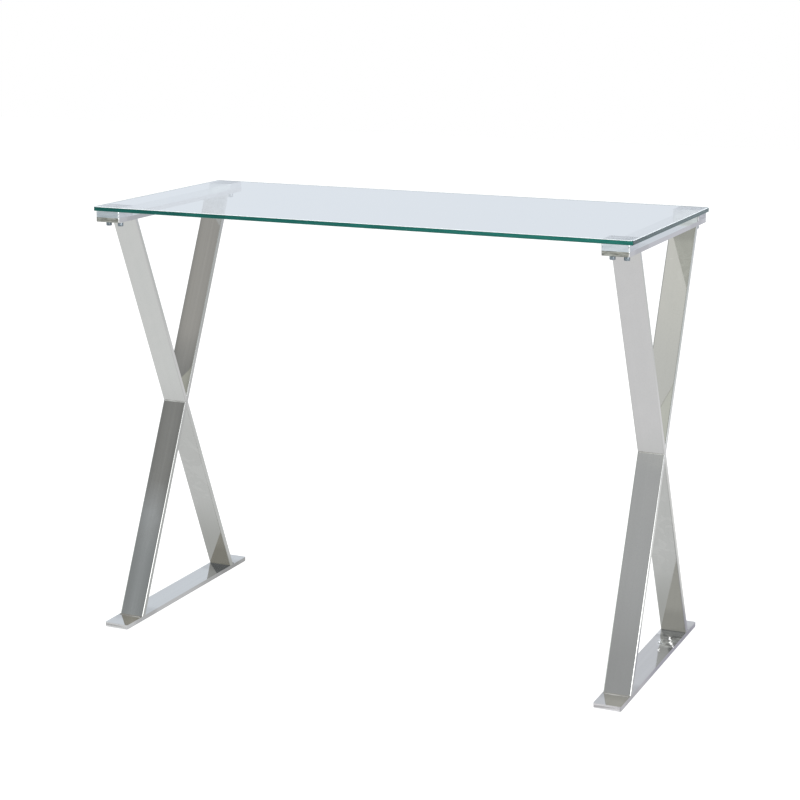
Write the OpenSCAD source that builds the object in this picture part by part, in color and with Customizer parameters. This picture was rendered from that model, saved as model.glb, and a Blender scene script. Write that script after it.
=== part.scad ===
// Manicure table: a clear tempered glass top on two welded X-frames of
// mirror-polished stainless steel, one at each end of the table.
// Each X-frame is a floor plate, two crossed flat tubes and a top plate.
// Four steel pads bonded under the glass are screwed to the top plates.
// Origin: centre of the footprint, on the floor. +Z is up, +X runs along the
// long side, the sitter's side (front) is -Y. All sizes are millimetres.

/* [Overall] */
// Length of the glass top along X
table_w = 1000; // [700:10:1400]
// Depth of the glass top along Y
table_d = 450; // [400:5:600]
// Height from the floor to the upper face of the glass
table_h = 780; // [650:5:950]

/* [Glass top] */
// Thickness of the tempered glass
glass_t = 8; // [6:1:12]
// Corner radius of the glass, seen from above
glass_r = 3; // [2:0.5:20]
// Width of the polished arris along the upper and lower glass edges
glass_arris = 0.8; // [0.3:0.1:1.5]

/* [End frames] */
// Width along X of the plates, pads and leg tubes
frame_w = 48; // [40:1:60]
// Distance from the end of the glass to the outer face of a frame
end_inset = 5; // [0:1:60]
// Thickness of the floor plates and top plates
plate_t = 8; // [6:1:12]
// Distance the plates stop short of the glass, front and back
plate_setback = 0; // [0:1:20]
// Corner radius of the plates and pads, seen from above
plate_r = 3; // [0.5:0.5:6]

/* [Leg tubes] */
// Thickness of the flat leg tubes
bar_t = 10; // [8:1:16]
// Wall of the leg tubes
bar_wall = 1.5; // [1:0.1:2.5]
// Outer corner radius of the leg tubes
bar_r = 2; // [0.5:0.1:3]
// Distance from the end of a plate to the centreline of the leg that meets it
foot_inset = 58; // [48:1:100]

/* [Glass mounts] */
// Length along Y of a pad bonded under the glass
pad_l = 48; // [44:1:56]
// Open height between the top plate and the glass
pad_gap = 11; // [9.5:0.5:16]
// Thickness of the clear bond between a pad and the glass
film_t = 0.2; // [0.1:0.1:0.5]
// Distance between the two screws of a pad, along X
screw_pitch = 24; // [20:1:28]
// Distance from the end of the top plate to its screws
screw_setback = 24; // [20:1:28]
// Length of the M6 cap screws under the head
screw_l = 18; // [16:1:19]

/* [Floor pads] */
// Diameter of the protective pads under the floor plates
foot_pad_d = 30; // [20:1:40]
// Thickness of the protective pads
foot_pad_t = 2; // [1:0.5:4]
// Distance from the end of a floor plate to the centre of its pad
foot_pad_inset = 30; // [22:1:60]

/* [Hidden] */
$fn = 48;

// signs that place a piece: side along X, end along Y, half of a leg along Z
left = -1;
right = 1;
front = -1;
rear = 1;
lower = -1;
upper = 1;

// colours
glass_color = [0.80, 0.92, 0.91, 0.40];
steel_color = [0.78, 0.79, 0.79];
screw_color = [0.29, 0.34, 0.37];
film_color = [0.86, 0.90, 0.92, 0.60];
floor_pad_color = [0.16, 0.16, 0.17];

// M6 fasteners
shank_r = 3;
shank_chamfer = 0.6;
tapped_r = 3.05;         // tapped hole in a pad
clearance_r = 3.3;       // clearance hole in a top plate
head_r = 5;
head_h = 6;
head_chamfer = 0.5;
socket_flats = 5;        // hexagon socket, across flats
socket_depth = 3;
spring_r = 4.95;
spring_bore_r = 3.15;
spring_t = 1.6;
spring_slit = 1.2;
washer_r = 6;
washer_bore_r = 3.2;
washer_t = 1.6;

tap_spare = 1;           // depth of a tapped hole beyond the screw tip
film_margin = 0.5;       // bare border of a pad around its bond film
overcut = 1;             // how far a cutter runs past the face it opens

// heights
z_floor_plate = foot_pad_t;              // floor plate, lower face
z_leg_foot = z_floor_plate + plate_t;    // floor plate, upper face
z_glass = table_h - glass_t;             // glass, lower face
z_pad = z_glass - pad_gap;               // top plate, upper face
z_leg_top = z_pad - plate_t;             // top plate, lower face
z_crossing = (z_leg_foot + z_leg_top) / 2;
leg_h = z_leg_top - z_leg_foot;
pad_h = pad_gap - film_t;

// plan
frame_x = table_w / 2 - end_inset - frame_w / 2;
plate_d = table_d - 2 * plate_setback;
foot_y = plate_d / 2 - foot_inset;
pad_y = plate_d / 2 - pad_l / 2;
screw_y = plate_d / 2 - screw_setback;
foot_pad_y = plate_d / 2 - foot_pad_inset;

// legs
lean = atan(2 * foot_y / leg_h);         // from the vertical
end_spare = 3 * bar_t;                   // trimmed off each end of a tube
stock_l = leg_h / cos(lean) + 2 * end_spare;

// screw stack, from the head up
washers_t = spring_t + washer_t;
z_seat = z_leg_top - washers_t;          // seat of the head
bite = screw_l - plate_t - washers_t;    // length of screw inside the pad

// ---------- shared shapes ----------

// flat rectangle with rounded corners, centred
module round_rect(width, depth, radius) {
    square([width - 2 * radius, depth], center = true);
    square([width, depth - 2 * radius], center = true);
    for (sx = [-1, 1], sy = [-1, 1])
        translate([sx * (width / 2 - radius), sy * (depth / 2 - radius)])
            circle(radius);
}

// flat rectangle with 45 degree chamfers on its corners, centred
module chamfer_rect(width, depth, chamfer) {
    x = width / 2;
    y = depth / 2;
    polygon([
        [-x + chamfer, -y], [x - chamfer, -y],
        [x, -y + chamfer], [x, y - chamfer],
        [x - chamfer, y], [-x + chamfer, y],
        [-x, y - chamfer], [-x, -y + chamfer]
    ]);
}

// level slab centred on a frame in X, with its lower face at z
module slab(side, y, z, width, length, thickness) {
    translate([side * frame_x, y, z])
        linear_extrude(thickness) round_rect(width, length, plate_r);
}

// flat ring standing on z = 0
module ring(outer_r, bore_r, thickness) {
    difference() {
        cylinder(r = outer_r, h = thickness);
        translate([0, 0, -overcut])
            cylinder(r = bore_r, h = thickness + 2 * overcut);
    }
}

// the two screw positions of one pad, as a row along X, raised to z
module at_screws(side, end, z) {
    for (k = [-1, 1])
        translate([side * frame_x + k * screw_pitch / 2, end * screw_y, z])
            children();
}

// ---------- glass and its mounts ----------

// plan outline cut by the arrissed profiles seen along X and along Y
module glass_top() {
    color(glass_color) translate([0, 0, z_glass + glass_t / 2]) intersection() {
        translate([0, 0, -glass_t]) linear_extrude(2 * glass_t)
            round_rect(table_w, table_d, glass_r);
        rotate([90, 0, 90]) translate([0, 0, -table_w])
            linear_extrude(2 * table_w) chamfer_rect(table_d, glass_t, glass_arris);
        rotate([90, 0, 0]) translate([0, 0, -table_d])
            linear_extrude(2 * table_d) chamfer_rect(table_w, glass_t, glass_arris);
    }
}

module bond_film(side, end) {
    color(film_color)
        slab(side, end * pad_y, z_glass - film_t,
            frame_w - 2 * film_margin, pad_l - 2 * film_margin, film_t);
}

module glass_pad(side, end) {
    color(steel_color) difference() {
        slab(side, end * pad_y, z_pad, frame_w, pad_l, pad_h);
        // blind tapped holes, open at the lower face
        at_screws(side, end, z_pad - overcut)
            cylinder(r = tapped_r, h = bite + tap_spare + overcut);
    }
}

// ---------- X-frame ----------

module top_plate(side) {
    color(steel_color) difference() {
        slab(side, 0, z_leg_top, frame_w, plate_d, plate_t);
        for (end = [front, rear])
            at_screws(side, end, z_leg_top - overcut)
                cylinder(r = clearance_r, h = plate_t + 2 * overcut);
    }
}

module floor_plate(side) {
    color(steel_color) slab(side, 0, z_floor_plate, frame_w, plate_d, plate_t);
}

// frame of one leg tube: its Z runs up the tube, its origin is the crossing.
// toward is the end, front or rear, that the tube rises towards
module along_leg(side, toward) {
    translate([side * frame_x, 0, z_crossing]) rotate([-toward * lean, 0, 0])
        children();
}

// flat tube, longer than the leg, before its ends are cut
module tube_stock() {
    translate([0, 0, -stock_l / 2]) difference() {
        linear_extrude(stock_l) round_rect(frame_w, bar_t, bar_r);
        translate([0, 0, -overcut]) linear_extrude(stock_l + 2 * overcut)
            square([frame_w - 2 * bar_wall, bar_t - 2 * bar_wall], center = true);
    }
}

// the space between the floor plate and the top plate, which trims the legs
module leg_space(side) {
    translate([side * frame_x - frame_w, -table_d, z_leg_foot])
        cube([2 * frame_w, 2 * table_d, leg_h]);
}

// the tube that runs unbroken from the front foot to the rear of the top plate
module long_leg(side) {
    color(steel_color) intersection() {
        along_leg(side, rear) tube_stock();
        leg_space(side);
    }
}

// upper or lower half of the other tube, coped flush round the long leg
// so that the sides of the X are level
module half_leg(side, half) {
    color(steel_color) intersection() {
        difference() {
            along_leg(side, front) tube_stock();
            along_leg(side, rear) union() {
                translate([0, 0, -stock_l]) linear_extrude(2 * stock_l)
                    round_rect(frame_w, bar_t, bar_r);
                // everything on the far side of the long leg's centreline
                translate([-frame_w, half == upper ? 0 : -table_d, -stock_l])
                    cube([2 * frame_w, table_d, 2 * stock_l]);
            }
        }
        leg_space(side);
    }
}

// ---------- fasteners ----------

// hexagon socket cap screw, head down, shank up
module cap_screw() {
    tip = head_h + screw_l;
    difference() {
        rotate_extrude() polygon([
            [0, 0], [head_r - head_chamfer, 0], [head_r, head_chamfer],
            [head_r, head_h], [shank_r, head_h], [shank_r, tip - shank_chamfer],
            [shank_r - shank_chamfer, tip], [0, tip]
        ]);
        translate([0, 0, -overcut])
            cylinder(r = socket_flats / 2 / cos(30), h = socket_depth + overcut, $fn = 6);
    }
}

module cap_screws(side, end) {
    color(screw_color) at_screws(side, end, z_seat - head_h) cap_screw();
}

// split rings, each slit on its +X side
module spring_washers(side, end) {
    color(screw_color) at_screws(side, end, z_seat) difference() {
        ring(spring_r, spring_bore_r, spring_t);
        translate([0, -spring_slit / 2, -overcut])
            cube([spring_r + 2 * overcut, spring_slit, spring_t + 2 * overcut]);
    }
}

module flat_washers(side, end) {
    color(screw_color) at_screws(side, end, z_seat + spring_t)
        ring(washer_r, washer_bore_r, washer_t);
}

// ---------- floor pads ----------

module floor_pad(side, end) {
    color(floor_pad_color) translate([side * frame_x, end * foot_pad_y, 0])
        cylinder(d = foot_pad_d, h = foot_pad_t);
}

// ---------- assembly ----------

glass_top();
bond_film(left, front);  // bond_film_left_front
bond_film(left, rear);  // bond_film_left_rear
bond_film(right, front);  // bond_film_right_front
bond_film(right, rear);  // bond_film_right_rear
glass_pad(left, front);  // glass_pad_left_front
glass_pad(left, rear);  // glass_pad_left_rear
glass_pad(right, front);  // glass_pad_right_front
glass_pad(right, rear);  // glass_pad_right_rear
top_plate(left);  // top_plate_left
top_plate(right);  // top_plate_right
long_leg(left);  // long_leg_left
long_leg(right);  // long_leg_right
half_leg(left, upper);  // upper_half_leg_left
half_leg(right, upper);  // upper_half_leg_right
half_leg(left, lower);  // lower_half_leg_left
half_leg(right, lower);  // lower_half_leg_right
floor_plate(left);  // floor_plate_left
floor_plate(right);  // floor_plate_right
cap_screws(left, front);  // cap_screws_left_front
cap_screws(left, rear);  // cap_screws_left_rear
cap_screws(right, front);  // cap_screws_right_front
cap_screws(right, rear);  // cap_screws_right_rear
spring_washers(left, front);  // spring_washers_left_front
spring_washers(left, rear);  // spring_washers_left_rear
spring_washers(right, front);  // spring_washers_right_front
spring_washers(right, rear);  // spring_washers_right_rear
flat_washers(left, front);  // flat_washers_left_front
flat_washers(left, rear);  // flat_washers_left_rear
flat_washers(right, front);  // flat_washers_right_front
flat_washers(right, rear);  // flat_washers_right_rear
floor_pad(left, front);  // floor_pad_left_front
floor_pad(left, rear);  // floor_pad_left_rear
floor_pad(right, front);  // floor_pad_right_front
floor_pad(right, rear);  // floor_pad_right_rear
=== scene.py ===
import math
import bpy
from mathutils import Matrix, Vector


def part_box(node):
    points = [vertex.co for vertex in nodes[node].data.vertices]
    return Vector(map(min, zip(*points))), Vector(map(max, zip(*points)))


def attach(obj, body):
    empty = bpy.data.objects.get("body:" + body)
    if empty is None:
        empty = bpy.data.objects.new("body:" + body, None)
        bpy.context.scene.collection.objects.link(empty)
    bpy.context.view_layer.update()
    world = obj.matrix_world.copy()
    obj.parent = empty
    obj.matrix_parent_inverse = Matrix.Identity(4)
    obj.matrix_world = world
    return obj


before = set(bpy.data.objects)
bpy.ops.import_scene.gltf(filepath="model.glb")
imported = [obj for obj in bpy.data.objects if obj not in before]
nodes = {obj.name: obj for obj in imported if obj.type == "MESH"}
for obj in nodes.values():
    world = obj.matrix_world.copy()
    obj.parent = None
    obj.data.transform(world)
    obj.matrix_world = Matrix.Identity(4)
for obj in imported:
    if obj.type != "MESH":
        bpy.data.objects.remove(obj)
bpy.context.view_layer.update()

scene = bpy.context.scene


# ---------------------------------------------------------------- node helpers

class Net:
    """Short names for building a shader node tree."""

    def __init__(self, tree):
        self.t = tree
        self.n = tree.nodes
        self.l = tree.links
        self.n.clear()

    def add(self, kind, **props):
        node = self.n.new(kind)
        for k, v in props.items():
            setattr(node, k, v)
        return node

    def put(self, socket, value):
        if isinstance(value, bpy.types.NodeSocket):
            self.l.new(value, socket)
        elif value is not None:
            socket.default_value = value

    def math(self, op, a, b=None, c=None, clamp=False):
        m = self.add("ShaderNodeMath", operation=op, use_clamp=clamp)
        self.put(m.inputs[0], a)
        if b is not None:
            self.put(m.inputs[1], b)
        if c is not None:
            self.put(m.inputs[2], c)
        return m.outputs[0]

    def vmath(self, op, a, b=None, scale=None):
        m = self.add("ShaderNodeVectorMath", operation=op)
        self.put(m.inputs[0], a)
        if b is not None:
            self.put(m.inputs[1], b)
        if scale is not None:
            self.put(m.inputs["Scale"], scale)
        return m.outputs["Value"] if op in ("DOT_PRODUCT", "LENGTH", "DISTANCE") else m.outputs[0]

    def remap(self, v, a, b, c=0.0, d=1.0, smooth=True):
        m = self.add("ShaderNodeMapRange", interpolation_type="SMOOTHSTEP" if smooth else "LINEAR")
        self.put(m.inputs["Value"], v)
        m.inputs["From Min"].default_value = a
        m.inputs["From Max"].default_value = b
        m.inputs["To Min"].default_value = c
        m.inputs["To Max"].default_value = d
        return m.outputs["Result"]

    def mix(self, f, a, b):
        m = self.add("ShaderNodeMix", data_type="RGBA")
        self.put(m.inputs["Factor"], f)
        self.put(m.inputs["A"] if False else m.inputs[6], a)
        self.put(m.inputs[7], b)
        return m.outputs[2]

    def noise(self, vec, scale, detail=2.0, rough=0.5, dist=0.0):
        m = self.add("ShaderNodeTexNoise")
        self.put(m.inputs["Vector"], vec)
        m.inputs["Scale"].default_value = scale
        m.inputs["Detail"].default_value = detail
        m.inputs["Roughness"].default_value = rough
        m.inputs["Distortion"].default_value = dist
        return m.outputs["Fac"]

    def stretch(self, vec, sx, sy, sz, rot=(0.0, 0.0, 0.0)):
        m = self.add("ShaderNodeMapping")
        self.put(m.inputs["Vector"], vec)
        m.inputs["Scale"].default_value = (sx, sy, sz)
        m.inputs["Rotation"].default_value = rot
        return m.outputs["Vector"]

    def stroke(self, vec, p0, p1, width):
        """1 inside a short rounded stroke between two points of the x-y plane, fading to 0 outside."""
        line = Vector(p1) - Vector(p0)
        rel = self.vmath("MULTIPLY", self.vmath("SUBTRACT", vec, tuple(p0)), (1.0, 1.0, 0.0))
        t = self.math("DIVIDE", self.vmath("DOT_PRODUCT", rel, tuple(line)), line.length_squared, clamp=True)
        d = self.vmath("LENGTH", self.vmath("SUBTRACT", rel, self.vmath("SCALE", tuple(line), scale=t)))
        return self.remap(d, width, width * 0.45)

    def bump(self, height, distance, strength=1.0, normal=None):
        m = self.add("ShaderNodeBump")
        m.inputs["Strength"].default_value = strength
        m.inputs["Distance"].default_value = distance
        self.put(m.inputs["Height"], height)
        if normal is not None:
            self.put(m.inputs["Normal"], normal)
        return m.outputs["Normal"]


def new_material(name):
    m = bpy.data.materials.new(name)
    m.use_nodes = True
    return m, Net(m.node_tree)


# ---------------------------------------------------------------- materials

LEAN = math.atan((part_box("long_leg_right")[1].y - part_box("long_leg_right")[0].y)
                 / (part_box("long_leg_right")[1].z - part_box("long_leg_right")[0].z))


# painted glints near one weld, short glowing strokes: start, end, half width
PAINTED_GLINTS = (((0.4735, 0.126, 0.0), (0.479, 0.112, 0.0), 0.0024),
         ((0.4815, 0.106, 0.0), (0.4885, 0.090, 0.0), 0.0026),
         ((0.4905, 0.086, 0.0), (0.494, 0.078, 0.0), 0.0014),
         ((0.462, 0.098, 0.0), (0.4655, 0.090, 0.0), 0.0013),
         ((0.4735, 0.062, 0.0), (0.477, 0.050, 0.0), 0.0011))


def polished_steel(name, tint, rough, along, waviness=1.0, seed=0.0, band=0.0, mottle=0.02, cloud=0.0, edge_shade=0.0, foot_shade_and_glints=0.0, zone=(-1.0, 2.0)):
    """Mirror-polished stainless steel. along is the rotation that lines the polishing marks up with the bar,
    band is the strength of the soft lengthwise bands, mottle of the fine clouding, cloud of duller handling marks."""
    m, k = new_material(name)
    at = k.add("ShaderNodeTexCoord").outputs["Object"]
    pos = k.vmath("ADD", at, (seed, seed * 0.7, seed * 1.3))
    lined = k.stretch(pos, 1.0, 1.0, 1.0, along)
    # long soft waves left by rolling and buffing
    wave = k.noise(k.stretch(lined, 7.0, 7.0, 1.8), 1.0, 1.0, 0.4)
    # fine parallel polishing lines
    lines = k.noise(k.stretch(lined, 900.0, 900.0, 14.0), 1.0, 2.0, 0.55)
    # soft lengthwise bands a few millimetres wide
    bands = k.noise(k.stretch(lined, 95.0, 40.0, 1.3), 1.0, 2.5, 0.6, 0.15)
    # smudges and handling marks that change the gloss a little
    smudge = k.noise(pos, 16.0, 4.0, 0.6, 0.6)
    fine = k.noise(pos, 330.0, 3.0, 0.65)
    r = k.math("ADD", k.remap(smudge, 0.35, 0.72, rough, rough + 0.05), k.remap(lines, 0.3, 0.8, 0.0, 0.03))
    level = k.remap(bands, 0.25, 0.75, 1.0 - band, 1.0 + band, smooth=False)
    if edge_shade:
        # painted shade: on the left frame the faces are painted darker towards their edges and a little lighter along
        # their middle
        sx = k.add("ShaderNodeSeparateXYZ")
        k.l.new(at, sx.inputs[0])
        off = k.math("DIVIDE", k.math("ADD", sx.outputs["X"], 0.471), 0.024)
        edge_falloff = k.math("MULTIPLY", k.math("MULTIPLY", off, off), k.remap(sx.outputs["X"], 0.1, -0.1))
        edge_falloff = k.math("MINIMUM", edge_falloff, 1.0)
        calm = k.remap(sx.outputs["X"], -0.1, 0.1)
        level = k.mix(k.math("MULTIPLY", calm, 0.65), level, (1.0, 1.0, 1.0, 1))
        level = k.math("MULTIPLY", level, k.remap(edge_falloff, 0.0, 1.0, 1.0 + edge_shade * 0.35, 1.0 - edge_shade, smooth=False))
    level = k.math("MULTIPLY", level, k.remap(fine, 0.3, 0.7, 1.0 - mottle, 1.0 + mottle, smooth=False))
    if cloud:
        whorl = k.noise(pos, 24.0, 2.0, 0.5, 2.2)
        sw = k.add("ShaderNodeSeparateXYZ")
        k.l.new(at, sw.inputs[0])
        z0, z1 = zone
        there = k.math("MULTIPLY", k.remap(sw.outputs["Z"], z0 - 0.04, z0 + 0.04), k.remap(sw.outputs["Z"], z1 + 0.04, z1 - 0.04))
        if edge_shade:
            there = k.math("MULTIPLY", there, calm)
        mark = k.math("MULTIPLY", k.remap(whorl, 0.53, 0.56), there)
        level = k.math("MULTIPLY", level, k.remap(mark, 0.0, 1.0, 1.0, 1.0 + cloud, smooth=False))
        r = k.math("ADD", r, k.remap(mark, 0.0, 1.0, 0.0, 0.05, smooth=False))
    warp = None
    if foot_shade_and_glints:
        # painted shade: the plates are painted a little darker where the legs meet them, and one foot has a cloudy,
        # buckled spot where the weld was dressed, which also carries painted sheen and painted glints
        sf = k.add("ShaderNodeSeparateXYZ")
        k.l.new(at, sf.inputs[0])
        near = k.math("ABSOLUTE", k.math("SUBTRACT", k.math("ABSOLUTE", sf.outputs["Y"]), 0.160))
        level = k.math("MULTIPLY", level, k.remap(near, 0.048, 0.026, 1.0, 1.0 - foot_shade_and_glints))
        gap = k.vmath("DISTANCE", k.vmath("MULTIPLY", at, (1.0, 0.62, 1.0)), (0.481, 0.108 * 0.62, 0.010))
        seen = k.math("MULTIPLY", k.add("ShaderNodeLightPath").outputs["Is Camera Ray"],
                      k.math("MULTIPLY", k.remap(sf.outputs["Z"], 0.0088, 0.0096), k.remap(sf.outputs["Z"], 0.05, 0.03)))
        buckle_and_sheen = k.math("MULTIPLY", k.remap(gap, 0.028, 0.014), k.remap(k.noise(pos, 62.0, 1.0, 0.5, 1.2), 0.40, 0.54))
        buckle_and_sheen = k.math("MULTIPLY", buckle_and_sheen, seen)
        r = k.math("ADD", r, k.math("MULTIPLY", buckle_and_sheen, 0.10))
        # painted sheen: the buckled spot is painted lighter, for the camera only
        level = k.math("MULTIPLY", level, k.remap(buckle_and_sheen, 0.0, 1.0, 1.0, 1.45))
        # painted glints: short glowing strokes along that spot
        wob = k.math("MULTIPLY", k.math("SUBTRACT", k.noise(pos, 90.0, 1.0, 0.5), 0.5), 0.012)
        shaky = k.vmath("ADD", at, k.vmath("SCALE", (1.0, 0.4, 0.0), scale=wob))
        glint_mask = None
        for p0, p1, width in PAINTED_GLINTS:
            one = k.stroke(shaky, p0, p1, width)
            glint_mask = one if glint_mask is None else k.math("MAXIMUM", glint_mask, one)
        glint_mask = k.math("MULTIPLY", glint_mask, seen)
        # painted highlight: a lighter, slightly rougher band just in front of the right rear foot, for the camera
        # only
        painted_light_band = k.math("MULTIPLY", k.remap(sf.outputs["Y"], 0.130, 0.138), k.remap(sf.outputs["Y"], 0.160, 0.155))
        painted_light_band = k.math("MULTIPLY", painted_light_band, k.math("MULTIPLY", k.remap(sf.outputs["X"], 0.0, 0.1), seen))
        level = k.math("MULTIPLY", level, k.remap(painted_light_band, 0.0, 1.0, 1.0, 1.5))
        r = k.math("ADD", r, k.math("MULTIPLY", painted_light_band, 0.12))
        warp = k.math("MULTIPLY", buckle_and_sheen, k.noise(k.stretch(pos, 90.0, 45.0, 90.0), 1.0, 1.0, 0.5))
    col = k.vmath("SCALE", tuple(tint[:3]), scale=level)
    n1 = k.bump(wave, 0.0012 * waviness, 0.35)
    n2 = k.bump(lines, 0.000004, 0.25, n1)
    if warp is not None:
        n2 = k.bump(warp, 0.0012, 0.7, n2)
    b = k.add("ShaderNodeBsdfPrincipled")
    k.put(b.inputs["Base Color"], col)
    b.inputs["Metallic"].default_value = 1.0
    k.put(b.inputs["Roughness"], r)
    k.put(b.inputs["Normal"], n2)
    # the painted glints glow white, for the camera only
    if foot_shade_and_glints:
        b.inputs["Emission Color"].default_value = (1.0, 1.0, 1.0, 1)
        k.put(b.inputs["Emission Strength"], k.math("MULTIPLY", glint_mask, 0.8))
    out = k.add("ShaderNodeOutputMaterial")
    k.l.new(b.outputs[0], out.inputs["Surface"])
    return m


STEEL = (0.65, 0.652, 0.648)
LEG = (0.645, 0.652, 0.625)
steel_flat = polished_steel("frame_steel_plate", STEEL, 0.035, (math.radians(90), 0.0, 0.0), 0.5, 0.3, 0.03, 0.015, 0.0, foot_shade_and_glints=0.15)
steel_rear = polished_steel("frame_steel_long_leg", LEG, 0.03, (LEAN, 0.0, 0.0), 0.7, 1.7, 0.055, 0.015, 0.05, edge_shade=0.15, zone=(0.64, 0.73))
steel_front = polished_steel("frame_steel_half_leg", LEG, 0.03, (-LEAN, 0.0, 0.0), 0.35, 4.1, 0.012, 0.012, 0.045, zone=(0.14, 0.30))


def cut_end(name, dark, light, rough, sx, sz):
    """The sawn and belt-finished ends of the flat bars: duller than the faces, with grinding marks along the cut."""
    m, k = new_material(name)
    pos = k.add("ShaderNodeTexCoord").outputs["Object"]
    marks = k.noise(k.stretch(pos, sx, 40.0, sz), 1.0, 3.0, 0.6, 0.3)
    fine = k.noise(k.stretch(pos, 200.0, 200.0, 2200.0), 1.0, 2.0, 0.6)
    b = k.add("ShaderNodeBsdfPrincipled")
    k.put(b.inputs["Base Color"], k.mix(k.remap(marks, 0.36, 0.64), tuple(dark) + (1,), tuple(light) + (1,)))
    b.inputs["Metallic"].default_value = 1.0
    k.put(b.inputs["Roughness"], k.remap(fine, 0.3, 0.7, rough - 0.06, rough + 0.06))
    k.put(b.inputs["Normal"], k.bump(fine, 0.00001, 0.4))
    out = k.add("ShaderNodeOutputMaterial")
    k.l.new(b.outputs[0], out.inputs["Surface"])
    return m


# two copies of the one cut-end finish: the ends of the top plates painted darker as painted shade, those of the floor
# plates painted lighter as painted light
top_end_shaded = cut_end("frame_steel_cut_end_top_shaded", (0.21, 0.205, 0.178), (0.46, 0.455, 0.412), 0.36, 70.0, 360.0)
floor_end_lit = cut_end("frame_steel_cut_end_floor_lit", (0.46, 0.46, 0.45), (0.84, 0.84, 0.83), 0.24, 9.0, 300.0)


def weld_steel():
    """Small polished weld fillets: the same steel, a little duller and warmer, with the ripple of the bead."""
    m, k = new_material("frame_steel_weld")
    pos = k.add("ShaderNodeTexCoord").outputs["Object"]
    ripple = k.noise(k.stretch(pos, 520.0, 160.0, 160.0), 1.0, 2.0, 0.5)
    tint = k.noise(pos, 55.0, 2.0, 0.5)
    b = k.add("ShaderNodeBsdfPrincipled")
    k.put(b.inputs["Base Color"], k.mix(k.remap(tint, 0.35, 0.65), (0.40, 0.39, 0.37, 1), (0.58, 0.575, 0.555, 1)))
    b.inputs["Metallic"].default_value = 1.0
    k.put(b.inputs["Roughness"], k.remap(ripple, 0.3, 0.7, 0.12, 0.26))
    k.put(b.inputs["Normal"], k.bump(ripple, 0.00008, 0.5))
    out = k.add("ShaderNodeOutputMaterial")
    k.l.new(b.outputs[0], out.inputs["Surface"])
    return m


def pad_steel():
    m, k = new_material("pad_polished_steel")
    pos = k.add("ShaderNodeTexCoord").outputs["Object"]
    grain = k.noise(k.stretch(pos, 60.0, 900.0, 900.0), 1.0, 3.0, 0.6)
    cloud = k.noise(k.stretch(pos, 60.0, 60.0, 240.0), 1.0, 3.0, 0.6)
    b = k.add("ShaderNodeBsdfPrincipled")
    sep = k.add("ShaderNodeSeparateXYZ")
    k.l.new(pos, sep.inputs[0])
    # painted shade: the rear right pad is painted darker, in soft streaks
    rear_right_shade = k.math("MULTIPLY", k.remap(sep.outputs["X"], 0.0, 0.1), k.remap(sep.outputs["Y"], 0.0, 0.1))
    streak = k.noise(k.stretch(pos, 30.0, 60.0, 420.0), 1.0, 2.0, 0.6)
    rear_right_shade = k.math("MULTIPLY", rear_right_shade, k.remap(streak, 0.35, 0.65, 0.55, 1.0))
    col = k.mix(k.remap(cloud, 0.3, 0.7), (0.62, 0.65, 0.67, 1), (0.72, 0.745, 0.765, 1))
    k.put(b.inputs["Base Color"], k.mix(rear_right_shade, col, (0.47, 0.47, 0.475, 1)))
    b.inputs["Metallic"].default_value = 1.0
    k.put(b.inputs["Roughness"], k.remap(grain, 0.3, 0.7, 0.07, 0.14))
    k.put(b.inputs["Normal"], k.bump(grain, 0.000008, 0.3))
    out = k.add("ShaderNodeOutputMaterial")
    k.l.new(b.outputs[0], out.inputs["Surface"])
    return m


def fastener(name, dark, light, rim):
    m, k = new_material(name)
    pos = k.add("ShaderNodeTexCoord").outputs["Object"]
    speck = k.noise(pos, 900.0, 3.0, 0.6)
    cloud = k.noise(pos, 160.0, 2.0, 0.5)
    edge = k.add("ShaderNodeNewGeometry").outputs["Pointiness"]
    base = k.mix(k.remap(cloud, 0.3, 0.7), tuple(dark) + (1,), tuple(light) + (1,))
    col = k.mix(k.remap(edge, 0.52, 0.6), base, tuple(rim) + (1,))
    b = k.add("ShaderNodeBsdfPrincipled")
    k.put(b.inputs["Base Color"], col)
    b.inputs["Metallic"].default_value = 1.0
    k.put(b.inputs["Roughness"], k.remap(speck, 0.3, 0.7, 0.22, 0.40))
    k.put(b.inputs["Normal"], k.bump(speck, 0.00003, 0.5))
    out = k.add("ShaderNodeOutputMaterial")
    k.l.new(b.outputs[0], out.inputs["Surface"])
    return m


def rubber():
    m, k = new_material("floor_pad_rubber")
    pos = k.add("ShaderNodeTexCoord").outputs["Object"]
    grain = k.noise(pos, 1400.0, 4.0, 0.7)
    b = k.add("ShaderNodeBsdfPrincipled")
    k.put(b.inputs["Base Color"], k.mix(k.remap(grain, 0.3, 0.7), (0.012, 0.012, 0.013, 1), (0.035, 0.035, 0.037, 1)))
    k.put(b.inputs["Roughness"], k.remap(grain, 0.3, 0.7, 0.7, 0.9))
    k.put(b.inputs["Normal"], k.bump(grain, 0.0001, 0.6))
    out = k.add("ShaderNodeOutputMaterial")
    k.l.new(b.outputs[0], out.inputs["Surface"])
    return m


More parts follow.
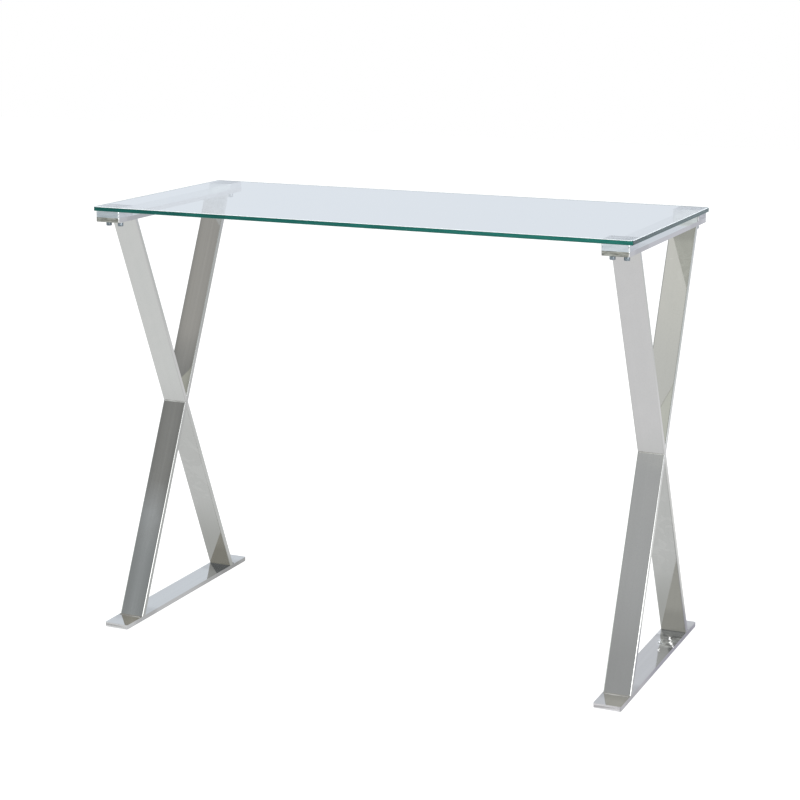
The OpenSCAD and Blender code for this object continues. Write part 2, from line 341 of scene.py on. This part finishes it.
def glass():
    """Clear float glass: the two faces pass the light with only a trace of tint."""
    m, k = new_material("tempered_glass")
    pos = k.add("ShaderNodeTexCoord").outputs["Object"]
    ripple = k.noise(pos, 5.0, 1.0, 0.4)
    dust = k.noise(pos, 300.0, 3.0, 0.6)
    smear = k.noise(k.stretch(pos, 3.0, 12.0, 3.0, (0.0, 0.0, 0.4)), 1.0, 3.0, 0.6, 0.4)
    rough = k.math("ADD", k.remap(dust, 0.55, 0.75, 0.0, 0.02), k.remap(smear, 0.55, 0.8, 0.0, 0.012))
    b = k.add("ShaderNodeBsdfPrincipled")
    k.put(b.inputs["Base Color"], k.mix(k.remap(smear, 0.4, 0.8), (0.975, 0.992, 0.990, 1), (0.965, 0.985, 0.985, 1)))
    b.inputs["IOR"].default_value = 1.52
    b.inputs["Transmission Weight"].default_value = 1.0
    k.put(b.inputs["Roughness"], rough)
    k.put(b.inputs["Normal"], k.bump(ripple, 0.00025, 0.25))
    out = k.add("ShaderNodeOutputMaterial")
    k.l.new(b.outputs[0], out.inputs["Surface"])
    return m


def glass_edge(name, deep, pale, rim, spec):
    """The ground and polished edge, where the light has come a long way through the sheet and is deep green.
    It is darkest along its upper and lower margins, and painted paler towards the right-hand end and towards the
    rear, as painted light."""
    m, k = new_material(name)
    pos = k.add("ShaderNodeTexCoord").outputs["Object"]
    sep = k.add("ShaderNodeSeparateXYZ")
    k.l.new(pos, sep.inputs[0])
    lo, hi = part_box("glass_top")
    zc, hz = (lo.z + hi.z) / 2, (hi.z - lo.z) / 2
    h = k.math("DIVIDE", k.math("ABSOLUTE", k.math("SUBTRACT", sep.outputs["Z"], zc)), hz)
    streak = k.noise(k.stretch(pos, 22.0, 22.0, 500.0), 1.0, 3.0, 0.6, 0.2)
    fine = k.noise(k.stretch(pos, 260.0, 260.0, 900.0), 1.0, 2.0, 0.6)
    # painted light: the colour is painted paler towards the right-hand end and the rear
    along = k.math("ADD", k.remap(sep.outputs["X"], -0.5, 0.5, 0.0, 0.55, smooth=False),
                   k.remap(sep.outputs["Y"], -0.225, 0.225, 0.0, 0.55, smooth=False))
    f = k.math("ADD", along, k.remap(streak, 0.3, 0.7, -0.18, 0.18), clamp=True)
    col = k.mix(f, tuple(deep) + (1,), tuple(pale) + (1,))
    col = k.mix(k.remap(h, 0.45, 0.85), col, tuple(rim) + (1,))
    # seen from within, through the top face, the same edge is painted pale, a painted reflection
    col = k.mix(k.add("ShaderNodeNewGeometry").outputs["Backfacing"], col, (0.66, 0.76, 0.76, 1))
    b = k.add("ShaderNodeBsdfPrincipled")
    k.put(b.inputs["Base Color"], col)
    b.inputs["Specular IOR Level"].default_value = spec
    k.put(b.inputs["Roughness"], k.remap(fine, 0.3, 0.7, 0.10, 0.22))
    k.put(b.inputs["Normal"], k.bump(fine, 0.00001, 0.3))
    out = k.add("ShaderNodeOutputMaterial")
    k.l.new(b.outputs[0], out.inputs["Surface"])
    return m


def glass_arris(name, a, c):
    """The small ground bevel that breaks the glass edge: frosted. Its colour is painted: the upper arris painted pale
    as a thin line of painted highlight, the lower one painted dark green as painted shade.
    """
    m, k = new_material(name)
    pos = k.add("ShaderNodeTexCoord").outputs["Object"]
    grit = k.noise(pos, 1200.0, 3.0, 0.6)
    b = k.add("ShaderNodeBsdfPrincipled")
    k.put(b.inputs["Base Color"], k.mix(k.remap(grit, 0.3, 0.7), tuple(a) + (1,), tuple(c) + (1,)))
    b.inputs["Specular IOR Level"].default_value = 0.2
    k.put(b.inputs["Roughness"], k.remap(grit, 0.3, 0.7, 0.3, 0.5))
    out = k.add("ShaderNodeOutputMaterial")
    k.l.new(b.outputs[0], out.inputs["Surface"])
    return m


def adhesive():
    """The clear film under the glass shows the bright face of the steel pad through it."""
    m, k = new_material("bond_clear")
    pos = k.add("ShaderNodeTexCoord").outputs["Object"]
    cloud = k.noise(pos, 90.0, 3.0, 0.6)
    brush = k.noise(k.stretch(pos, 40.0, 700.0, 40.0), 1.0, 2.0, 0.6)
    b = k.add("ShaderNodeBsdfPrincipled")
    # a darker bead along the rear margin of each pad
    lo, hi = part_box("bond_film_left_front")
    sep = k.add("ShaderNodeSeparateXYZ")
    k.l.new(pos, sep.inputs[0])
    y0, y1 = min(abs(lo.y), abs(hi.y)), max(abs(lo.y), abs(hi.y))
    span = y1 - y0
    far = k.math("MULTIPLY", k.remap(sep.outputs["Y"], y1 - 0.26 * span, y1 - 0.17 * span), 1.0)
    near = k.math("MULTIPLY", k.remap(sep.outputs["Y"], -y0 - 0.26 * span, -y0 - 0.17 * span), k.remap(sep.outputs["Y"], 0.02, 0.0))
    bead = k.math("MAXIMUM", far, near)
    col = k.mix(k.remap(cloud, 0.3, 0.7), (0.64, 0.655, 0.665, 1), (0.70, 0.715, 0.73, 1))
    k.put(b.inputs["Base Color"], k.mix(bead, col, (0.50, 0.51, 0.52, 1)))
    b.inputs["Metallic"].default_value = 1.0
    k.put(b.inputs["Roughness"], k.remap(brush, 0.3, 0.7, 0.02, 0.05))
    out = k.add("ShaderNodeOutputMaterial")
    k.l.new(b.outputs[0], out.inputs["Surface"])
    return m


PAD = pad_steel()
SCREW = fastener("fastener_dark_zinc", (0.10, 0.125, 0.145), (0.24, 0.28, 0.31), (0.50, 0.54, 0.57))
WASHER = fastener("fastener_bright_zinc", (0.62, 0.65, 0.67), (0.76, 0.78, 0.79), (0.84, 0.85, 0.86))
RUBBER = rubber()
GLASS = glass()
EDGE_LONG = glass_edge("glass_edge_long", (0.008, 0.088, 0.074), (0.026, 0.215, 0.172), (0.008, 0.085, 0.075), 0.10)
# painted shade: the end edges are a darker, greyer copy of the long edges
EDGE_END = glass_edge("glass_edge_end", (0.020, 0.036, 0.044), (0.070, 0.116, 0.118), (0.022, 0.040, 0.046), 0.18)
# lit and shaded copies of one arris: the upper one painted pale as painted highlight, the lower one painted dark
# green as painted shade
ARRIS_TOP = glass_arris("glass_arris_top", (0.66, 0.72, 0.75), (0.82, 0.86, 0.88))
ARRIS_LOW = glass_arris("glass_arris_low", (0.05, 0.20, 0.17), (0.10, 0.27, 0.24))
BOND = adhesive()
WELD = weld_steel()


def dress(name, material, bevel=None, segments=3, more=()):
    """Gives a CAD node its material. more holds (material, test) pairs for single faces, where test takes the face normal."""
    o = nodes[name]
    o.data.materials.clear()
    o.data.materials.append(material)
    for extra, _ in more:
        o.data.materials.append(extra)
    for p in o.data.polygons:
        p.material_index = 0
        for i, (_, test) in enumerate(more):
            if test(p.normal):
                p.material_index = i + 1
                break
    if bevel:
        w = o.modifiers.new("edge_weld", "WELD")
        w.merge_threshold = 0.000005
        bv = o.modifiers.new("soft_edges", "BEVEL")
        bv.width = bevel
        bv.segments = segments
        bv.limit_method = "ANGLE"
        bv.angle_limit = math.radians(40)
        bv.harden_normals = True
        bv.use_clamp_overlap = True
    return o


for n in nodes:
    if n.startswith("glass_pad"):
        dress(n, PAD, 0.0011, 4)
    elif n.startswith("long_leg"):
        dress(n, steel_rear)
    elif "half_leg" in n:
        dress(n, steel_front)
    elif n.startswith("top_plate"):
        dress(n, steel_flat, 0.0012, 4, [(top_end_shaded, lambda v: abs(v.y) > 0.9)])
    elif n.startswith("floor_plate"):
        dress(n, steel_flat, 0.0012, 4, [(floor_end_lit, lambda v: abs(v.y) > 0.9)])
    elif n.startswith("cap_screws"):
        dress(n, SCREW, 0.00015, 2)
    elif n.startswith(("spring_washers", "flat_washers")):
        dress(n, WASHER, 0.00015, 2)
    elif n.startswith("floor_pad"):
        dress(n, RUBBER, 0.0004, 2)
    elif n.startswith("bond_film"):
        dress(n, BOND)
    elif n == "glass_top":
        dress(n, GLASS, None, 0, [
            (EDGE_END, lambda v: abs(v.z) < 0.2 and abs(v.x) > 0.7),
            (EDGE_LONG, lambda v: abs(v.z) < 0.2),
            (ARRIS_TOP, lambda v: 0.2 <= v.z < 0.95),
            (ARRIS_LOW, lambda v: -0.95 < v.z <= -0.2)])

# the clear sheet would only draw a hard line across the mirror of the legs
nodes["glass_top"].visible_glossy = False

# ---------------------------------------------------------------- weld fillets

def fillet(verts, faces, corner, u1, u2, x0, x1, size, rnd, steps=30, arc=6):
    """A closed, slightly uneven fillet bead along x in the corner between two faces that leave it along u1 and u2."""
    cy, cz = corner
    my, mz = u1[0] + u2[0], u1[1] + u2[1]
    ml = math.hypot(my, mz)
    root_y, root_z = cy - my / ml * 0.0003, cz - mz / ml * 0.0003
    first = len(verts)
    for i in range(steps + 1):
        t = i / steps
        x = x0 + (x1 - x0) * t
        end = min(1.0, min(t, 1 - t) / 0.04 + 0.35)
        a = size * end * (1 + 0.16 * rnd.uniform(-1, 1))
        b = size * end * (1 + 0.16 * rnd.uniform(-1, 1))
        p1 = (cy + u1[0] * a, cz + u1[1] * a)
        p2 = (cy + u2[0] * b, cz + u2[1] * b)
        c = 0.25
        ctl = (cy + c * my * 0.5 * size * 0.5, cz + c * mz * 0.5 * size * 0.5)
        verts.append((x, root_y, root_z))
        for j in range(arc + 1):
            s = j / arc
            verts.append((x,
                          (1 - s) ** 2 * p1[0] + 2 * s * (1 - s) * ctl[0] + s * s * p2[0],
                          (1 - s) ** 2 * p1[1] + 2 * s * (1 - s) * ctl[1] + s * s * p2[1]))
    ring = arc + 2
    for i in range(steps):
        for j in range(ring):
            q = (j + 1) % ring
            r0, r1 = first + i * ring, first + (i + 1) * ring
            faces.append((r0 + j, r0 + q, r1 + q, r1 + j))
    faces.append(tuple(first + j for j in reversed(range(ring))))
    faces.append(tuple(first + steps * ring + j for j in range(ring)))


def weld_beads(side):
    import random
    rnd = random.Random(11 if side == "left" else 23)
    lo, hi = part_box("long_leg_" + side)
    z_lo, z_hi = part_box("floor_plate_" + side)[1].z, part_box("top_plate_" + side)[0].z
    z_mid = (z_lo + z_hi) / 2
    sin_l, cos_l = math.sin(LEAN), math.cos(LEAN)
    half = 0.005 / cos_l
    run = (z_hi - z_lo) / 2 * math.tan(LEAN)
    x0, x1 = lo.x + 0.0016, hi.x - 0.0016
    verts, faces = [], []
    for end in (-1, 1):                       # front and rear
        for level, up in ((z_lo, 1), (z_hi, -1)):
            # the bar leaves the plate towards the middle of the frame
            lean = (-end * sin_l, up * cos_l)
            for edge in (-1, 1):
                y = end * run + edge * half
                fillet(verts, faces, (y, level), (edge, 0.0), lean, x0, x1, 0.0015, rnd)
    for edge in (-1, 1):                      # the level creases at the crossing, front and rear
        fillet(verts, faces, (edge * half, z_mid), (edge * sin_l, cos_l), (edge * sin_l, -cos_l), x0, x1, 0.0015, rnd)
    tip = 0.005 / sin_l
    for up in (-1, 1):                        # and the two sharp corners above and below it
        fillet(verts, faces, (0.0, z_mid + up * tip), (-sin_l, up * cos_l), (sin_l, up * cos_l), x0, x1, 0.0024, rnd)
    me = bpy.data.meshes.new("weld_beads_" + side)
    me.from_pydata(verts, [], faces)
    me.update()
    import bmesh
    bm = bmesh.new()
    bm.from_mesh(me)
    bmesh.ops.recalc_face_normals(bm, faces=bm.faces)
    bm.to_mesh(me)
    bm.free()
    for p in me.polygons:
        p.use_smooth = len(p.vertices) == 4
    me.materials.append(WELD)
    o = bpy.data.objects.new("weld_beads_" + side, me)
    scene.collection.objects.link(o)
    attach(o, "root")
    return o


for side in ("left", "right"):
    weld_beads(side)

# ---------------------------------------------------------------- stage

def plain_floor():
    s = 9.0
    me = bpy.data.meshes.new("studio_floor")
    me.from_pydata([(-s, -s, 0), (s, -s, 0), (s, s, 0), (-s, s, 0)], [], [(0, 1, 2, 3)])
    o = bpy.data.objects.new("studio_floor", me)
    scene.collection.objects.link(o)
    m, k = new_material("floor_white")
    path = k.add("ShaderNodeLightPath")
    pos = k.add("ShaderNodeTexCoord").outputs["Object"]
    sep = k.add("ShaderNodeSeparateXYZ")
    k.l.new(pos, sep.inputs[0])
    x, y = sep.outputs["X"], sep.outputs["Y"]
    # as the polished steel sees it: a pale sweep, with soft shade under the table and close to the two frames,
    # paler again on the open right-hand side, and cooler far behind the table and far in front of it
    grain = k.noise(pos, 40.0, 3.0, 0.6)
    ax = k.math("ABSOLUTE", x)
    tone = k.remap(x, -0.4, 0.1)
    col = k.mix(k.remap(grain, 0.3, 0.7), k.mix(tone, (0.835, 0.845, 0.865, 1), (0.835, 0.826, 0.865, 1)),
                k.mix(tone, (0.86, 0.865, 0.885, 1), (0.86, 0.85, 0.89, 1)))
    patch = k.noise(pos, 9.0, 2.0, 0.55, 1.2)
    mirrored = k.math("SUBTRACT", 1.0, path.outputs["Is Transmission Ray"])
    under = k.math("MULTIPLY", k.remap(y, -0.27, -0.11), k.remap(ax, 0.95, 0.70))
    under = k.math("MULTIPLY", under, mirrored)
    under = k.math("MULTIPLY", under, k.remap(y, 1.7, 0.9))
    under = k.math("MULTIPLY", under, k.remap(patch, 0.35, 0.68, 1.05, 0.93))
    col = k.mix(under, col, (0.705, 0.71, 0.725, 1))
    # the open side to the right
    lit = k.math("MULTIPLY", k.remap(x, 0.54, 0.60), k.math("MULTIPLY", k.remap(y, 0.12, 0.24), k.remap(y, 1.5, 0.8)))
    col = k.mix(lit, col, (0.88, 0.88, 0.89, 1))
    # shade pooling at the rear halves of the floor plates
    pool = k.math("MULTIPLY", k.remap(ax, 0.385, 0.43), k.remap(ax, 0.60, 0.56))
    pool = k.math("MULTIPLY", pool, k.math("MULTIPLY", k.remap(y, 0.0, 0.125), k.remap(y, 0.36, 0.24)))
    pool = k.math("MULTIPLY", pool, mirrored)
    col = k.mix(pool, col, (0.535, 0.54, 0.54, 1))
    touch = k.math("MULTIPLY", k.remap(x, 0.485, 0.495), k.remap(x, 0.60, 0.555))
    touch = k.math("MULTIPLY", k.math("MULTIPLY", touch, mirrored), k.remap(y, 0.34, 0.22))
    col = k.mix(k.math("MULTIPLY", touch, k.remap(y, -0.36, -0.22)), col, (0.64, 0.635, 0.67, 1))
    col = k.mix(k.math("MULTIPLY", touch, k.remap(y, -0.12, 0.0)), col, (0.47, 0.465, 0.53, 1))
    # far behind
    col = k.mix(k.remap(y, 1.9, 2.6), col, (0.71, 0.715, 0.735, 1))
    far = k.mix(k.remap(x, 0.2, 1.2), (0.72, 0.77, 0.83, 1), (0.71, 0.72, 0.78, 1))
    col = k.mix(k.remap(y, 4.1, 4.6), col, far)
    # a warmer strip a little in front of the table, then the far front
    col = k.mix(k.math("MULTIPLY", k.remap(y, -0.62, -0.72), k.remap(x, -0.2, 0.0)), col, (0.82, 0.825, 0.775, 1))
    ahead = k.mix(k.remap(x, -3.0, -1.6), (0.58, 0.635, 0.665, 1), (0.86, 0.91, 0.945, 1))
    col = k.mix(k.remap(y, -1.6, -2.6), col, ahead)
    # and a bright patch far off to the right, which the upright corners under the glass pick up
    bright = k.math("MULTIPLY", k.remap(x, 1.9, 2.3), k.remap(y, -0.7, -1.0))
    col = k.mix(bright, col, (1.45, 1.45, 1.47, 1))
    e = k.add("ShaderNodeEmission")
    k.put(e.inputs["Color"], col)
    # seen directly the sweep is white, with only a trace of contact shadow
    dc = k.add("ShaderNodeBsdfDiffuse")
    dc.inputs["Color"].default_value = (0.35, 0.35, 0.35, 1)
    w = k.add("ShaderNodeEmission")
    w.inputs["Color"].default_value = (1, 1, 1, 1)
    w.inputs["Strength"].default_value = 0.86
    a = k.add("ShaderNodeAddShader")
    k.l.new(dc.outputs[0], a.inputs[0])
    k.l.new(w.outputs[0], a.inputs[1])
    mx = k.add("ShaderNodeMixShader")
    k.l.new(path.outputs["Is Camera Ray"], mx.inputs[0])
    k.l.new(e.outputs[0], mx.inputs[1])
    k.l.new(a.outputs[0], mx.inputs[2])
    out = k.add("ShaderNodeOutputMaterial")
    k.l.new(mx.outputs[0], out.inputs["Surface"])
    me.materials.append(m)
    return o


plain_floor()


def studio_world():
    w = bpy.data.worlds.new("studio")
    scene.world = w
    w.use_nodes = True
    k = Net(w.node_tree)
    d = k.add("ShaderNodeTexCoord").outputs["Generated"]
    sep = k.add("ShaderNodeSeparateXYZ")
    k.l.new(d, sep.inputs[0])
    x, y, z = sep.outputs
    # behind the table: a pale blue-grey wall, brighter to the left
    wall = k.mix(k.remap(x, -0.52, -0.22), (0.80, 0.85, 0.91, 1), (0.72, 0.74, 0.785, 1))
    wall = k.mix(k.remap(z, 0.28, 0.16), wall, (0.73, 0.785, 0.85, 1))
    # in front: the dim studio behind the camera, with a wide soft light high up on the right
    right = k.remap(x, -0.45, -0.33)
    zs = k.math("SUBTRACT", z, k.math("MULTIPLY_ADD", right, 0.034, 0.006))
    dim_l = k.mix(k.remap(z, 0.405, 0.425), (0.357, 0.374, 0.392, 1), (0.44, 0.455, 0.478, 1))
    dim_l = k.mix(k.remap(z, 0.425, 0.437), dim_l, (0.302, 0.302, 0.302, 1))
    dim_r = k.mix(k.remap(z, 0.43, 0.475), (0.415, 0.42, 0.435, 1), (0.505, 0.51, 0.53, 1))
    dim = k.mix(right, dim_l, dim_r)
    soft_l = k.mix(k.remap(z, 0.60, 0.78), (0.455, 0.442, 0.432, 1), (0.55, 0.53, 0.48, 1))
    soft_r = k.mix(k.remap(z, 0.56, 0.60), (0.70, 0.70, 0.69, 1), (0.78, 0.775, 0.75, 1))
    soft_r = k.mix(k.remap(z, 0.64, 0.86), soft_r, (0.70, 0.69, 0.66, 1))
    soft = k.mix(right, soft_l, soft_r)
    front = k.mix(k.remap(zs, 0.482, 0.502), dim, soft)
    # the lit lower part of that studio, near the horizon
    front = k.mix(k.remap(z, 0.365, 0.31), front, (1.02, 1.08, 1.07, 1))
    lamp = k.math("MULTIPLY", k.remap(z, 0.30, 0.24), k.math("MULTIPLY", k.remap(y, -0.82, -0.90), k.remap(x, -0.08, -0.14)))
    front = k.mix(lamp, front, (1.36, 1.44, 1.42, 1))
    # a dark gap straight ahead, between the soft light and the tall softbox
    gap = k.math("MULTIPLY", k.remap(x, -0.14, -0.06), k.remap(x, 0.34, 0.24))
    gap = k.math("MULTIPLY", gap, k.remap(z, 0.60, 0.50))
    front = k.mix(gap, front, (0.36, 0.36, 0.365, 1))
    col = k.mix(k.remap(y, -0.25, 0.35), front, wall)
    col = k.mix(k.remap(z, 0.93, 0.98), col, (1.05, 1.06, 1.08, 1))
    zenith = k.math("MULTIPLY", k.remap(z, 0.90, 0.94), k.remap(y, -0.12, 0.05))
    col = k.mix(zenith, col, (1.05, 1.05, 1.03, 1))
    low = k.remap(z, 0.02, -0.10)
    col = k.mix(low, col, k.mix(k.remap(y, -0.25, 0.35), (0.42, 0.42, 0.375, 1), (0.72, 0.77, 0.83, 1)))
    # dimmer high on the left
    dusk = k.math("MULTIPLY", k.remap(x, -0.40, -0.46), k.math("MULTIPLY", k.remap(z, 0.79, 0.83), k.remap(y, -0.10, 0.0)))
    col = k.mix(dusk, col, (0.74, 0.735, 0.70, 1))
    # a low softbox on the right draws the bright lines along the rounded edges
    top = k.math("ADD", z, k.math("MULTIPLY", k.math("ADD", y, 0.2), 0.22))
    box = k.math("MULTIPLY", k.remap(z, 0.05, 0.11), k.remap(top, 0.33, 0.27))
    box = k.math("MULTIPLY", box, k.math("MULTIPLY", k.remap(y, -0.12, -0.18), k.remap(x, 0.42, 0.56)))
    col = k.mix(box, col, k.mix(k.remap(y, -0.26, -0.36), (1.8, 1.8, 1.9, 1), (4.4, 4.4, 4.45, 1)))
    # and a dark screen on the left darkens the opposite edges
    path = k.add("ShaderNodeLightPath")
    flag = k.math("MULTIPLY", k.remap(x, -0.70, -0.78), k.remap(z, 0.50, 0.40))
    flag = k.math("MULTIPLY", flag, k.math("SUBTRACT", 1.0, path.outputs["Is Transmission Ray"]))
    flag = k.math("MULTIPLY", flag, k.remap(y, 0.05, 0.22))
    col = k.mix(flag, col, (0.34, 0.34, 0.34, 1))
    bg = k.add("ShaderNodeBackground")
    k.put(bg.inputs["Color"], col)
    white = k.add("ShaderNodeBackground")
    white.inputs["Color"].default_value = (1, 1, 1, 1)
    mx = k.add("ShaderNodeMixShader")
    k.l.new(path.outputs["Is Camera Ray"], mx.inputs[0])
    k.l.new(bg.outputs[0], mx.inputs[1])
    k.l.new(white.outputs[0], mx.inputs[2])
    out = k.add("ShaderNodeOutputWorld")
    k.l.new(mx.outputs[0], out.inputs["Surface"])


studio_world()


def area(name, loc, target, size, power, color=(1, 1, 1), size_y=None):
    li = bpy.data.lights.new(name, "AREA")
    li.energy = power
    li.color = color
    li.shape = "RECTANGLE"
    li.size = size
    li.size_y = size_y or size
    o = bpy.data.objects.new(name, li)
    scene.collection.objects.link(o)
    o.location = loc
    o.rotation_euler = (Vector(target) - Vector(loc)).to_track_quat("-Z", "Y").to_euler()
    o.visible_camera = False
    o.visible_glossy = False
    o.visible_transmission = False
    return o


area("overhead", (0.2, -0.3, 3.0), (0, 0, 0.3), 3.0, 60.0)

# ---------------------------------------------------------------- camera

F_PX, CX, CY = 1932.66, 400.959, 251.623
AZ, EL, ROLL = math.radians(24.160), math.radians(8.721), math.radians(0.091)
EYE = Vector((1.396188, -3.113797, 1.222655))

cam_data = bpy.data.cameras.new("photo_camera")
cam = bpy.data.objects.new("photo_camera", cam_data)
scene.collection.objects.link(cam)
back_v = Vector((math.sin(AZ) * math.cos(EL), -math.cos(AZ) * math.cos(EL), math.sin(EL)))
right_v = Vector((math.cos(AZ), math.sin(AZ), 0.0))
up_v = back_v.cross(right_v)
r2 = math.cos(ROLL) * right_v + math.sin(ROLL) * up_v
u2 = -math.sin(ROLL) * right_v + math.cos(ROLL) * up_v
rot = Matrix((r2, u2, back_v)).transposed().to_4x4()
cam.matrix_world = Matrix.Translation(EYE) @ rot
cam_data.sensor_fit = "HORIZONTAL"
cam_data.sensor_width = 36.0
cam_data.lens = F_PX * 36.0 / 800.0
cam_data.clip_start, cam_data.clip_end = 0.05, 60.0
scene.camera = cam


def shift_only_here(prop, value):
    """The lens shift belongs to this one viewpoint: from any other camera position it fades to none."""
    d = cam_data.driver_add(prop).driver
    d.type = "SCRIPTED"
    for v, axis in (("px", "LOC_X"), ("py", "LOC_Y")):
        var = d.variables.new()
        var.name = v
        var.type = "TRANSFORMS"
        var.targets[0].id = cam
        var.targets[0].transform_type = axis
        var.targets[0].transform_space = "WORLD_SPACE"
    d.expression = f"{value:.6f} * max(0, 1 - 200 * (abs(px - {EYE.x:.6f}) + abs(py - {EYE.y:.6f})))"


shift_only_here("shift_x", (400.0 - CX) / 800.0)
shift_only_here("shift_y", (CY - 400.0) / 800.0)

# glass edges and mirror corners need more bounces than usual
scene.cycles.max_bounces = 24
scene.cycles.glossy_bounces = 16
scene.cycles.transmission_bounces = 24
scene.cycles.transparent_max_bounces = 16

scene.view_settings.view_transform = "Standard"
scene.view_settings.look = "None"
scene.view_settings.exposure = 0.0
scene.view_settings.gamma = 1.0
